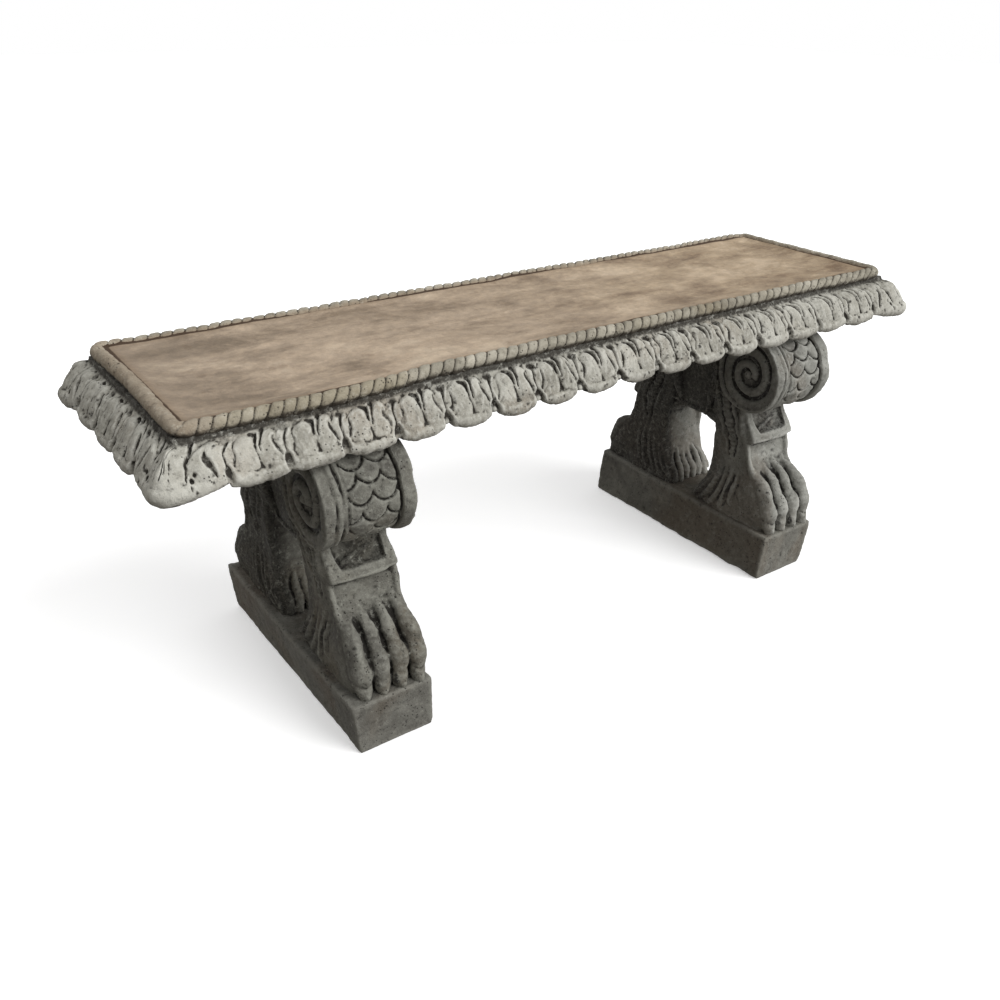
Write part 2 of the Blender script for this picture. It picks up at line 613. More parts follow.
# ---- Seat: leaf edge, rope, panel and underside (mm) ---------------------------------------
class Ring:
    """A rounded rectangle walked anticlockwise from the middle of the front side."""

    def __init__(self, half_x, half_y, radius):
        self.half_x, self.half_y, self.radius = half_x, half_y, radius
        self.flat_x, self.flat_y = half_x - radius, half_y - radius
        self.arc = radius * math.pi / 2
        self.length = 4 * (self.flat_x + self.flat_y + self.arc)
        self.side_middles = (0, self.flat_x + self.arc + self.flat_y,
                             self.length / 2, self.length - self.flat_x - self.arc - self.flat_y)
        self.corner_middles = (self.flat_x + self.arc / 2,
                               self.length / 2 - self.flat_x - self.arc / 2,
                               self.length / 2 + self.flat_x + self.arc / 2,
                               self.length - self.flat_x - self.arc / 2)

    def place(self, s, out):
        """x and y of points s along the ring and out millimetres outside it.

        Inside the ring the corners tighten towards a mitre, so that nothing folds over."""
        s, out = np.broadcast_arrays(np.mod(np.asarray(s, float) + self.flat_x, self.length), out)
        round_ = np.maximum(self.radius + out, 2.0)
        flat_x, flat_y = self.half_x + out - round_, self.half_y + out - round_
        x, y = np.zeros(s.shape), np.zeros(s.shape)
        start = 0.0
        corners = ((1, -1), (1, 1), (-1, 1), (-1, -1))
        for side, (corner_x, corner_y) in enumerate(corners):
            middle_x, middle_y = corner_x * flat_x, corner_y * flat_y
            angle = side * math.pi / 2
            along, away = (math.cos(angle), math.sin(angle)), (math.sin(angle), -math.cos(angle))
            length, shown = 2 * self.flat_x, 2 * flat_x
            if side % 2:
                length, shown = 2 * self.flat_y, 2 * flat_y
            on_flat = (s >= start) & (s < start + length)
            back = ((s - start) / length - 1) * shown
            x[on_flat] = (middle_x + back * along[0] + round_ * away[0])[on_flat]
            y[on_flat] = (middle_y + back * along[1] + round_ * away[1])[on_flat]
            start += length
            on_arc = (s >= start) & (s < start + self.arc)
            bend = angle - math.pi / 2 + (s - start) / self.radius
            x[on_arc] = (middle_x + round_ * np.cos(bend))[on_arc]
            y[on_arc] = (middle_y + round_ * np.sin(bend))[on_arc]
            start += self.arc
        return x, y


leaf_ring = Ring(557.0, 161.0, 15.0)
rope_ring = Ring(522.0, 129.0, 10.0)
corner_reach = 65.7          # from the middle of a corner leaf to the eyes beside it
leaf_pitch = 61.2
leaf_drawn = 62.0            # width that a leaf is drawn at, before it is fitted between its eyes
corner_drawn = 61.0          # half the width that a corner leaf is drawn at
leaf_stretch = 1.15          # leaves are cut this much taller than drawn
rope_radius = 8.3
rope_level = bench_top - rope_radius - 0.3
rope_pitch = 14.2
panel_rim = 427.0
panel_dish = 5.5
bed_level = 398.0            # hidden level between the underside and the panel


def stroke(u, w, rows):
    """1 on a curve through rows of (u, w, half width), falling to 0 at its sides."""
    rows = smooth_path(rows, 4)
    best = np.zeros(np.broadcast(u, w).shape)
    for (au, aw, ah), (bu, bw, bh) in zip(rows, rows[1:]):
        eu, ew = bu - au, bw - aw
        along = np.clip(((u - au) * eu + (w - aw) * ew) / (eu * eu + ew * ew + 1e-9), 0, 1)
        gap = (u - au - along * eu) ** 2 + (w - aw - along * ew) ** 2
        best = np.maximum(best, 1 - gap / np.maximum(ah + (bh - ah) * along, 0.3) ** 2)
    return np.sqrt(np.clip(best, 0, 1))


def mound(u, w, middle_u, middle_w, half_u, half_w, tilt=0.0):
    """1 in the middle of an oval, falling to 0 at its rim like a dome. tilt slants it."""
    across = (u - middle_u - tilt * (w - middle_w)) / half_u
    return np.sqrt(np.clip(1 - across ** 2 - ((w - middle_w) / half_w) ** 2, 0, 1))


class Relief:
    """Heights in millimetres over the leaf edge, unrolled: u along it, w up its face."""

    def __init__(self, count, reach, step):
        self.count, self.step = count, step
        self.w = np.arange(0, reach, step)
        self.height = np.zeros((count, len(self.w)))
        self.stain = np.zeros_like(self.height)

    def patch(self, at, half):
        """Rows within half of a place, which may pass the end, and their coordinates."""
        rows = np.arange(int((at - half) / self.step), int((at + half) / self.step) + 1)
        u = rows * self.step - at
        return rows % self.count, u[:, None], self.w[None, :]

    def look_up(self, w):
        """Height and stain along the whole edge for an array of places up the face."""
        at = np.clip(w / self.step, 0, len(self.w) - 1.001)
        base = at.astype(int)
        part = at - base
        return [table[:, base] * (1 - part) + table[:, base + 1] * part
                for table in (self.height, self.stain)]


def jitter(dice, usual):
    """A function that draws a number from -size to size, where size is usual if none is given."""
    return lambda size=usual: dice.uniform(-size, size)


def cut_slits(height, u, w, cuts, crisp, sharp, darkest, full_depth):
    """Sinks dark lines into a leaf. cuts holds (path, depth); a cut of full_depth is at its darkest."""
    stain = np.zeros_like(height)
    for path, depth in cuts:
        mark = stroke(u, w, path)
        height = height - crisp * depth * mark
        stain = np.maximum(stain, crisp * mark ** sharp * min(darkest, depth / full_depth))
    return height, stain


def leaf_lobes(u, w, lobes):
    """The tallest of several (middle u, middle w, half u, half w, tilt, height) domes."""
    tallest = np.zeros(np.broadcast(u, w).shape)
    for middle_u, middle_w, half_u, half_w, tilt, height in lobes:
        tallest = np.maximum(tallest, height * mound(u, w, middle_u, middle_w, half_u, half_w, tilt) ** 0.8)
    return tallest


def cut_leaf(relief, at, pitch, deep, dice):
    """One leaf between two eyes: a lip that is scalloped as deep says (0 to 1), two lobes that
    lean left, leaflets, slits and ticks."""
    rows, u, w = relief.patch(at, pitch / 2)
    u = u * leaf_drawn / pitch
    j = jitter(dice, 0.8)
    lift = 1 + 0.12 * j(1)
    height = leaf_lobes(u, w, (
        (-12 + j(), 25 + j(), 14, 20, -0.10 + j(0.05), 5.0 * lift),
        (12.5 + j(), 26 + j(), 12, 20.5, -0.06 + j(0.05), 5.2 * lift),
        (-27, 26, 6.0, 17, -0.05, 2.8), (27, 26, 6.0, 17, -0.12, 2.8),
        (3.0, 37, 3.4, 9, -0.20, 3.2)))
    bow = (np.abs(u) / (leaf_drawn / 2)) ** 2
    lip_line = 5.6 + (1.0 + 5.0 * deep) * bow + j(0.5)
    lip = ridge(w - lip_line, 7.4) * (6.0 + j(0.6) - (1.0 + 4.5 * deep) * bow ** 1.3)
    height = np.maximum(height, lip)
    height = height - 7.5 * deep * bow * np.clip((lip_line + 1 - w) / 7, 0, 1)
    cuts = (([(-10, 45.5, 1.6), (-3.5, 43, 2.7), (0.3, 37.5, 2.0), (1.4, 30, 0.7)], 4.2),
            ([(2.5, 47, 3.0), (5.0, 41, 2.0), (5.6, 34, 1.3), (4.6, 26, 0.6)], 4.4),
            ([(18 + j(), 39, 0.8), (20, 32, 2.4 + j(0.5)), (23, 25, 2.0), (25.5, 19, 0.5)], 3.6 + j(1)),
            ([(-22 + j(), 37, 0.7), (-20.5, 30, 1.7 + j(0.5)), (-22, 24, 1.4), (-24, 19, 0.5)], 2.8 + j(1)),
            ([(-14, 12.5, 0.5), (0, 11.2, 1.0), (14, 12.5, 0.5)], 1.3 + j(0.6)))
    crisp = 0.45 + 0.45 * deep
    height, stain = cut_slits(height, u, w, cuts, crisp, 0.7, 1, 3.2)
    # short ticks round the eyes on both sides, and long faint ones up the lobes
    for side in (-1, 1):
        for number in range(7):
            angle = math.radians(30 + 17 * number + j(7))
            start, end = 10.5 + j(1.2), 15.5 + j(3)
            tick = stroke(u, w, [(side * (31 - r * math.sin(angle)), 9 + r * math.cos(angle) * 1.1, r_half)
                                 for r, r_half in ((start, 0.8), (end, 1.1 + j(0.4)))])
            height -= 0.9 * crisp * tick
            stain = np.maximum(stain, crisp * (0.55 + j(0.35)) * tick)
    for number in range(8):
        lean = -14 + 4.2 * number + j(1.5)
        tick = stroke(u, w, [
            (lean * 0.75, 14 + j(2), 0.4), (lean, 21 + j(3), 0.9), (lean * 1.15, 29 + j(4), 0.4)])
        height -= 0.6 * crisp * tick
        stain = np.maximum(stain, (0.22 + j(0.2)) * tick)
    relief.height[rows] = np.where(np.abs(u) <= leaf_drawn / 2, height, relief.height[rows])
    relief.stain[rows] = np.maximum(relief.stain[rows], stain)


def cut_eye(relief, at, deep, dice):
    """The drilled eye between two leaves, with its bead, the joint over it and the hole above.

    Where deep is low the eye is smaller and shallower, and has no bead."""
    rows, u, w = relief.patch(at, 16)
    j = jitter(dice, 0.7)
    height, stain = relief.height[rows], relief.stain[rows]
    joint = stroke(u, w, [(j(), 41, 2.0), (j(), 31, 0.9), (j(), 23, 0.9), (0, 14, 2.4)])
    hole = mound(u, w, -1.5 + j(), 43.5, 6.5, 4.5, -0.25)
    eye = mound(u, w, j(0.4), 16.0 - 9.0 * deep, 3.2 + 4.4 * deep + j(0.4), 6.5 + 4.5 * deep + j(), 0)
    crisp = 0.3 + 0.7 * deep
    height = height - 2.6 * joint
    height = np.minimum(height, 6 - 12 * crisp * hole ** 0.7)
    height = np.minimum(height, np.where(eye > 0, 4.5 - 1.5 * deep - 11 * crisp * eye ** 0.6, 99))
    bead = mound(u, w, j(0.8), 12.5 - 4.0 * deep + j(), 4.4 + j(0.6), 4.8, 0)
    proud = 6.5 * np.clip((deep - 0.35) / 0.3, 0, 1)
    height = np.maximum(height, np.where(bead > 0, -7.0 + (proud + j()) * bead ** 0.6, -99))
    dark = np.maximum(hole ** 0.4, eye ** 0.35 * (1 - 0.1 * proud * bead ** 0.5))
    dark = np.maximum(0.6 * joint ** 0.6, crisp * dark)
    relief.height[rows] = height
    relief.stain[rows] = np.maximum(stain, dark)


def cut_corner_leaf(relief, at, dice):
    """The broad leaf that wraps a corner: a dome with a mitre groove between two shell lobes."""
    rows, u, w = relief.patch(at, corner_reach)
    u = u * corner_drawn / corner_reach
    j = jitter(dice, 0.8)
    height = leaf_lobes(u, w, (
        (0, 23, 31, 25, 0, 5.6), (-43, 25, 15.5, 21, -0.1, 5.4), (43, 25, 15.5, 21, 0.1, 5.4),
        (-57, 25, 6, 16, 0, 3.4), (57, 25, 6, 16, 0, 3.4)))
    bow = (np.abs(u) / corner_drawn) ** 3
    lip_line = 6.6 + 4.5 * bow
    lip = ridge(w - lip_line, 7.8) * (6.6 + 2.0 * np.clip(1 - np.abs(u) / 40, 0, 1) - 5.0 * bow)
    height = np.maximum(height, lip)
    height = height - 5.0 * bow * np.clip((lip_line - 3 - w) / 5, 0, 1)
    cuts = [([(0, 47, 2.2), (0.5, 38, 1.7), (-0.5, 28, 1.1), (-1.5, 20, 0.5)], 3.8),
            ([(10, 46, 0.9), (6, 36, 1.2), (2, 25, 0.6)], 2.2)]
    for side in (-1, 1):
        cuts += [
            ([(side * 26, 47, 2.6), (side * 27.5, 38, 1.8), (side * 26, 26, 1.2),
              (side * 23, 16, 0.6)], 4.0),
            ([(side * 43, 37 + j(), 1.0), (side * 45, 29, 3.2 + j()), (side * 48, 20, 2.4),
              (side * 50, 14, 0.8)], 3.2),
            ([(side * 15, 40, 0.6), (side * 12.5, 30, 0.9), (side * 8, 20, 0.5)], 1.4)]
    height, stain = cut_slits(height, u, w, cuts, 1.0, 0.5, 0.85, 4.4)
    # drilled holes in the shell lobes
    for side in (-1, 1):
        for hole_u, hole_w, size in ((27, 15, 1.8), (31.5, 19, 1.6), (25, 9.5, 1.3)):
            hole = mound(u, w, side * hole_u + j(), hole_w + j(), size, size * 1.4)
            height = height - 4 * hole
            stain = np.maximum(stain, hole ** 0.4)
    stain = np.maximum(stain, 0.5 * np.clip((10 - w) / 8, 0, 1))
    relief.height[rows] = height
    relief.stain[rows] = stain


def scallop_depth(ring, at):
    """How deeply the edge is cut at a place, 0 to 1: less near the ends of the front side."""
    x, y = ring.place(np.array([at]), np.array([0.0]))
    return float(np.interp(x[0], (-470, -150, 150, 400), (0.3, 0.75, 0.75, 0.3))) if y[0] < -100 else 0.6


def build_leaf_edge():
    """The whole leaf edge: a moulded strip with the leaves cut in it, bent round the slab."""
    ring = leaf_ring
    count = int(round(ring.length / (1.25)))
    step = ring.length / count
    clay = Clay((0, -40, 359), (ring.length - step, 13, 419), step)
    # face of the strip, from under its lip up to the cove below the rope
    face = smooth_path([
        (-16, 364.6), (-6, 365.0), (-1.6, 367.0), (-0.6, 371.0), (-2.4, 376.5), (-6.6, 383.5), (-11.5, 391),
        (-16, 398), (-20, 403.5), (-24.5, 407.5), (-27.5, 410.5), (-28, 415)], 4)
    outline = [*face, (-37, 415), (-37, 365.5), (-20, 364.8)]
    out, level = clay.axes[1][:, None], clay.axes[2][None, :]
    plain = outline_distance(outline, out, level)
    lengths = np.append(0, np.cumsum(np.hypot(*np.diff(face, axis=0).T)))
    lip_start = np.interp(-6.0, face[:12, 0], lengths[:12])
    up_face = np.zeros(plain.shape)
    nearest = np.full(plain.shape, 1e9)
    for (ao, az), (bo, bz), start, end in zip(face, face[1:], lengths, lengths[1:]):
        eo, ez = bo - ao, bz - az
        along = np.clip(((out - ao) * eo + (level - az) * ez) / (eo * eo + ez * ez), 0, 1)
        gap = (out - ao - along * eo) ** 2 + (level - az - along * ez) ** 2
        closer = gap < nearest
        nearest = np.where(closer, gap, nearest)
        up_face = np.where(closer, start + along * (end - start), up_face)
    up_face = (up_face - lip_start) / leaf_stretch

    relief = Relief(count, 60, step)
    dice = np.random.default_rng(12)
    eyes = []
    for number, middle in enumerate(ring.side_middles):
        half = (ring.flat_x if number % 2 == 0 else ring.flat_y) + ring.arc / 2 - corner_reach
        units = int(round(2 * half / leaf_pitch))
        pitch = 2 * half / units
        for unit in range(units):
            at = middle - half + (unit + 0.5) * pitch
            cut_leaf(relief, at, pitch, scallop_depth(ring, at), dice)
        eyes += [middle - half + unit * pitch for unit in range(units + 1)]
    for at in ring.corner_middles:
        cut_corner_leaf(relief, at, dice)
    for at in eyes:
        cut_eye(relief, at, scallop_depth(ring, at), dice)
    height, stain = relief.look_up(np.maximum(up_face, 0))
    fade = np.clip((up_face + 14) / 14, 0, 1) * np.clip((52 - up_face) / 4, 0, 1)
    cove = 0.78 * np.clip((up_face - 46) / 3, 0, 1)
    grime = 0.16 + 0.42 * np.clip((8 - up_face) / 10, 0, 1)
    clay.d = (plain[None] - height * fade[None]).astype(np.float32)
    clay.stain = np.maximum(np.maximum(stain * fade[None], cove[None]), grime[None]).astype(np.float32)
    weather(clay, 5, rough=((40, 0.7), (12, 0.4), (4.5, 0.28)), pits=900, pit_size=(0.7, 1.7),
            period=ring.length)

    def bend(points):
        """The strip bent round the slab, which runs out a little at its ends."""
        s, spread, z = points.T
        x, y = ring.place(s, spread)
        right, left = np.clip((x - 470) / 90, 0, 1), np.clip((-x - 500) / 60, 0, 1)
        stretched = x + 9 * right - 4 * left * np.clip((y + 110) / 200, 0, 1)
        return np.stack([stretched, y, z + sag(x, y) * np.clip((z - 380) / 30, 0.2, 1)], 1)

    return casting("seat_leaf_edge", clay, carved_triangles, loop=True, wrap=bend)


def sag(x, y):
    """Slow waviness of the hand-cast slab's height, with a dip near the left of its front."""
    wave = np.sin(x / 60.0 - y / 150.0) * 0.45 - 0.2
    dip = 4.4 / (1 + np.exp((x + 265) / 18.0)) * np.clip((x + 590) / 110, 0, 1)
    return wave - dip * np.clip(0.5 - y / 250, 0, 1)


def sway(s):
    """Slow sideways waviness along the rope, the same after one lap."""
    lap = 2 * math.pi * s / rope_ring.length
    return 1.4 * np.sin(6 * lap + 1.1) + 0.9 * np.sin(13 * lap + 0.4)


def build_rope():
    """The twisted border: slanting rounded strands, tighter at the right end, worn soft at the left."""
    ring = rope_ring
    strands = int(round(ring.length / rope_pitch))
    along = strands * 12
    around = 44
    seam = -math.pi / 2
    s, turn = np.meshgrid(np.arange(along) * ring.length / along,
                          seam + np.arange(around) * 2 * math.pi / around, indexing="ij")
    dice = np.random.default_rng(3)
    shifts = dice.uniform(-0.13, 0.13, strands)
    wobble = np.interp(s * strands / ring.length, np.arange(strands + 1), np.append(shifts, shifts[0]))
    x0, y0 = ring.place(s, 0 * s)
    twist = 1.5 + 2.2 * np.clip((x0 - 250) / 220, 0, 1)
    phase = np.mod(s * strands / ring.length + wobble - twist * (turn - seam) / (2 * math.pi), 1.0) - 0.5
    swell = np.sqrt(np.clip(1 - (np.abs(phase) * 2) ** 2.8, 0, 1))
    inner = np.clip(-0.2 - np.cos(turn), 0, 0.6) / 0.6
    left_end = np.clip((-x0 - 470) / 40, 0, 1)
    worn = np.clip((x0 + 528) / 22, 0.3, 1) * (1 - 0.6 * inner) * np.clip((545 - x0) / 20, 0.3, 1)
    gap = np.exp(-((0.5 - np.abs(phase)) * rope_pitch / 1.0) ** 2) * worn
    radius = (rope_radius - 2.2 * worn * (1 - swell) - 1.2 * gap
              + 0.45 * ripple(x0, y0, turn * 8, 17, 21) + 0.2 * ripple(x0, y0, turn * 8, 6, 22))
    x, y = ring.place(s, radius * np.cos(turn) + sway(s))
    level = rope_level + radius * np.sin(turn)
    points = np.stack([x, y, level + sag(x, y)], -1).reshape(-1, 3)
    index = np.arange(along * around).reshape(along, around)
    quads = np.stack([index, np.roll(index, -1, 0), np.roll(np.roll(index, -1, 0), -1, 1),
                      np.roll(index, -1, 1)], -1).reshape(-1, 4)
    under = np.clip((-np.sin(turn) + 0.2) * 1.3, 0, 1)
    stain = np.maximum(np.maximum(0.95 * gap, under), 0.35 * (1 - swell) * worn)
    plain = np.full(along * around, -0.02)
    return mesh_piece("seat_rope", points, quads, {"near": plain, "far": plain, "stain": stain.ravel(),
                                                   "cover": np.maximum(inner, 0.75 * left_end).ravel()})


def plate(name, half_x, half_y, top, bottom, step):
    """A closed plate whose top and bottom heights are functions of x and y."""
    nx, ny = int(2 * half_x / step) + 1, int(2 * half_y / step) + 1
    x, y = np.meshgrid(np.linspace(-half_x, half_x, nx), np.linspace(-half_y, half_y, ny), indexing="ij")
    upper = np.stack([x, y, top(x, y)], -1).reshape(-1, 3)
    lower = np.stack([x, y, bottom(x, y)], -1).reshape(-1, 3)
    index = np.arange(nx * ny).reshape(nx, ny)
    tile = np.stack([index[:-1, :-1], index[1:, :-1], index[1:, 1:], index[:-1, 1:]], -1).reshape(-1, 4)
    rim = np.concatenate([index[:-1, 0], index[-1, :-1], index[:0:-1, -1], index[0, :0:-1]])
    count = nx * ny
    walls = np.stack([rim, rim + count, np.roll(rim, -1) + count, np.roll(rim, -1)], -1)
    points = np.concatenate([upper, lower])
    faces = np.concatenate([tile, tile[:, ::-1] + count, walls])
    edge = np.minimum(half_x - np.abs(x), half_y - np.abs(y)).ravel()
    near = np.concatenate([np.zeros(count), np.full(count, 0.1)])
    return mesh_piece(name, points, faces, {"near": near, "far": near, "stain": 0 * near,
                                            "edge": np.concatenate([edge, np.full(count, 50.0)])})


def build_panel():
    """The dished top between the ropes."""
    half_x, half_y = rope_ring.flat_x + rope_ring.radius, rope_ring.flat_y + rope_ring.radius

    def top(x, y):
        edge = np.minimum(half_x - 8 - np.abs(x), half_y - 8 - np.abs(y))
        dish = panel_dish * (1 - np.exp(-np.maximum(edge, 0) / 17.0))
        lip = 1.6 * np.exp(-(edge / 2.2) ** 2)
        waves = 0.5 * ripple(x, y, 0 * x, 70, 8) + 0.2 * ripple(x, y, 0 * x, 22, 9)
        return panel_rim - dish - lip + sag(x, y) + waves

    def bottom(x, y):
        return 0 * x + bed_level + 1

    return plate("seat_panel", half_x, half_y, top, bottom, 3.0)


def build_underside():
    """The plain underside, struck off level with the form."""
    def top(x, y):
        return 0 * x + bed_level

    def bottom(x, y):
        return seat_bottom + 0.25 + 0.3 * ripple(x, y, 0 * x, 45, 14) + 0.15 * ripple(x, y, 0 * x, 14, 15)

    return plate("seat_underside", leaf_ring.half_x - 28, leaf_ring.half_y - 28, top, bottom,
                 4.0)


# ---- Stone finishes ------------------------------------------------------------------------
class Graph:
    """A tree of shader nodes under construction. Values are numbers, colours or sockets."""

    def __init__(self, tree):
        self.tree = tree

    def node(self, kind, inputs=None, **settings):
        new = self.tree.nodes.new(kind)
        for key, value in settings.items():
            setattr(new, key, value)
        for key, value in (inputs or {}).items():
            if isinstance(value, bpy.types.NodeSocket):
                self.tree.links.new(value, new.inputs[key])
            else:
                new.inputs[key].default_value = value
        return new

    def range(self, value, low, high, to_low=0.0, to_high=1.0, curve="SMOOTHSTEP"):
        inputs = {"Value": value, "From Min": low, "From Max": high, "To Min": to_low, "To Max": to_high}
        return self.node("ShaderNodeMapRange", inputs, interpolation_type=curve).outputs["Result"]

    def math(self, operation, a, b=0.0):
        return self.node("ShaderNodeMath", {0: a, 1: b}, operation=operation).outputs[0]

    def total(self, first, *others):
        """The sum of (value, weight) pairs."""
        result = self.math("MULTIPLY", *first)
        for pair in others:
            result = self.math("ADD", result, self.math("MULTIPLY", *pair))
        return result

    def stir(self, value, noise, amount):
        """A value moved up and down by a noise, over amount in all."""
        return self.math("ADD", value, self.math("MULTIPLY", self.math("SUBTRACT", noise, 0.5), amount))

    def mix(self, factor, a, b, blend="MIX"):
        a, b = (c if isinstance(c, bpy.types.NodeSocket) else (*c, 1.0) for c in (a, b))
        new = self.node("ShaderNodeMix", {0: factor, 6: a, 7: b}, data_type="RGBA", blend_type=blend)
        return new.outputs[2]

    def ramp(self, value, stops):
        new = self.node("ShaderNodeValToRGB", {0: value})
        ramp = new.color_ramp
        while len(ramp.elements) < len(stops):
            ramp.elements.new(0.5)
        for element, (place, colour) in zip(ramp.elements, stops):
            element.position = place
            element.color = (*colour, 1.0)
        return new.outputs["Color"]


class Finish(Graph):
    """A stone, steel or mortar material, with textures that lie still in the object's frame."""

    def __init__(self, name, roughness=0.9):
        self.material = bpy.data.materials.new(name)
        self.material.use_nodes = True
        super().__init__(self.material.node_tree)
        self.shader = self.tree.nodes["Principled BSDF"]
        self.shader.inputs["Roughness"].default_value = roughness
        self.shader.inputs["Specular IOR Level"].default_value = 0.3
        self.place = self.node("ShaderNodeTexCoord").outputs["Object"]

    def attribute(self, name):
        return self.node("ShaderNodeAttribute", attribute_name=name).outputs["Fac"]

    def stretched(self, scale):
        """Coordinates squeezed by scale, so that a texture is drawn out along an axis."""
        return self.node("ShaderNodeMapping", {"Vector": self.place, "Scale": scale}).outputs["Vector"]

    def noise(self, scale, detail=4.0, roughness=0.6, distortion=0.0, place=None):
        inputs = {"Vector": place or self.place, "Scale": scale, "Detail": detail,
                  "Roughness": roughness, "Distortion": distortion}
        return self.node("ShaderNodeTexNoise", inputs).outputs["Fac"]

    def cells(self, scale):
        inputs = {"Vector": self.place, "Scale": scale}
        return self.node("ShaderNodeTexVoronoi", inputs).outputs["Distance"]

    def done(self, colour, height, bump=0.0006, roughness=None):
        links = self.tree.links
        links.new(colour, self.shader.inputs["Base Color"])
        relief = self.node("ShaderNodeBump", {"Height": height, "Distance": bump, "Strength": 1.0})
        links.new(relief.outputs["Normal"], self.shader.inputs["Normal"])
        if roughness is not None:
            links.new(roughness, self.shader.inputs["Roughness"])
        return self.material


def tone(red, green, blue):
    """Scene colour of a tone seen on a screen (0 to 255)."""
    shares = (c / 255 for c in (red, green, blue))
    return tuple(((c + 0.055) / 1.055) ** 2.4 if c > 0.04 else c / 12.92 for c in shares)


def cast_stone(name, light, middle, dark, wash, tint, wash_near, dusting, grain, cover):
    """Cast stone rubbed back over a dark wash: dark in hollows, pale on edges, pitted and mottled.

    The wash lies from shallow to full over the hollow depths in wash_near, dusting is how pale
    the rubbed edges are, and cover is a tone laid where a piece's "cover" value says."""
    f = Finish(name)
    near, far, stain = f.attribute("near"), f.attribute("far"), f.attribute("stain")
    cloud = f.noise(9, 5, 0.62, 0.4)
    patch = f.noise(28, 4, 0.6, 0.6)
    speck = f.noise(240, 3, 0.65)
    grit = f.noise(900, 2, 0.6)
    body = f.ramp(f.total((cloud, 0.55), (patch, 0.45)), [(0.34, dark), (0.5, middle), (0.66, light)])
    # stains that drift in colour
    drift = f.range(f.noise(5.5, 4, 0.6, 0.8), 0.50, 0.68, 0.0, 0.55)
    body = f.mix(drift, body, tint)
    if cover:
        body = f.mix(f.math("MULTIPLY", f.attribute("cover"), 0.85), body, cover)
    # rubbed edges
    edge = f.range(f.stir(f.math("MULTIPLY", near, -1.0), speck, 0.10), 0.0, 0.12, 0.0, dusting)
    body = f.mix(edge, body, light)
    # wash that lies in the hollows and in open pores
    depth = f.math("ADD", near, f.math("MULTIPLY", far, 0.75))
    lie = f.range(f.stir(f.stir(depth, patch, 0.22), speck, 0.18), *wash_near)
    lie = f.math("MAXIMUM", lie, f.range(f.stir(stain, speck, 0.9), 0.12, 0.85, 0.0, 0.95))
    body = f.mix(lie, body, wash)
    # coarse grain: dark flecks and dry pale ones
    fleck = f.noise(125, 6, 0.8, 0.3)
    body = f.mix(f.range(fleck, 0.53, 0.68, 0.0, 0.5 * grain), body, wash)
    body = f.mix(f.range(fleck, 0.47, 0.35, 0.0, 0.45 * grain), body, light)
    # grit and pores
    grains = f.range(grit, 0.36, 0.64, 0.0, 1.0)
    body = f.mix(f.math("MULTIPLY", grains, 0.16 * grain), body, (1.0, 0.98, 0.94), "OVERLAY")
    pores = f.math("MULTIPLY", f.range(f.cells(210), 0.24, 0.10), f.range(f.noise(36, 2, 0.5), 0.46, 0.62))
    body = f.mix(f.math("MULTIPLY", pores, 0.75), body, wash)
    height = f.total((speck, 0.8), (grit, 0.35), (pores, -1.3))
    rough = f.range(patch, 0.3, 0.7, 0.82, 0.97)
    return f.done(body, height, 0.0012 * grain, rough)


def panel_stone():
    """The seat's stained top: warm taupe smudged along its length, browner towards the right."""
    f = Finish("seat_panel_stone", 0.75)
    smudge = f.noise(17, 6, 0.66, 0.35, f.stretched((0.5, 1.0, 1.0)))
    streaks = f.noise(58, 6, 0.7, 0.2, f.stretched((0.5, 1.0, 1.0)))
    cloud = f.noise(6.5, 5, 0.62, 0.6)
    speck = f.noise(330, 3, 0.65)
    grit = f.noise(120, 4, 0.7)
    blend = f.total((smudge, 0.46), (streaks, 0.22), (cloud, 0.32))
    grey = f.ramp(blend, [
        (0.41, tone(124, 109, 92)), (0.475, tone(149, 133, 115)), (0.53, tone(164, 147, 128)),
        (0.60, tone(180, 164, 144))])
    warm = f.ramp(blend, [
        (0.41, tone(112, 93, 74)), (0.475, tone(143, 125, 103)), (0.53, tone(160, 142, 119)),
        (0.59, tone(179, 161, 138))])
    along = f.node("ShaderNodeSeparateXYZ", {0: f.place}).outputs["X"]
    body = f.mix(f.range(f.stir(along, cloud, 0.7), -0.25, 0.5), grey, warm)
    left_end = f.range(f.stir(along, smudge, 0.5), -0.29, -0.52, 0.0, 0.55)
    body = f.mix(left_end, body, tone(106, 95, 82))
    # spots and specks of dirt
    spots = f.math("MULTIPLY", f.range(f.noise(34, 4, 0.7, 0.4), 0.57, 0.70), 0.30)
    body = f.mix(spots, body, tone(98, 80, 62))
    body = f.mix(f.math("MULTIPLY", f.range(grit, 0.38, 0.64), 0.16), body, (1.0, 0.97, 0.9), "OVERLAY")
    body = f.mix(f.math("MULTIPLY", f.range(speck, 0.62, 0.74), 0.30), body, tone(92, 76, 58))
    # a brown border, and a dark line against the rope
    edge = f.attribute("edge")
    border = f.range(f.stir(edge, f.noise(60, 3), 8.0), 20.0, 9.5, 0.0, 0.30)
    body = f.mix(border, body, tone(120, 98, 74))
    line = f.range(f.stir(edge, f.noise(90, 2), 1.6), 11.0, 9.0, 0.0, 0.95)
    body = f.mix(line, body, tone(58, 41, 26))
    rough = f.range(streaks, 0.35, 0.65, 0.64, 0.86)
    return f.done(body, f.total((grit, 0.8), (speck, 0.5)), 0.0009, rough)


def rusty_steel():
    """Reinforcing steel with a brown skin of rust."""
    f = Finish("rusty_steel", 0.7)
    rust = f.noise(120, 5, 0.65, 0.4)
    colour = f.ramp(rust, [(0.35, tone(70, 62, 56)), (0.52, tone(112, 70, 44)), (0.68, tone(140, 86, 50))])
    return f.done(colour, f.noise(420, 3, 0.6), 0.0005, f.range(rust, 0.35, 0.65, 0.5, 0.9))


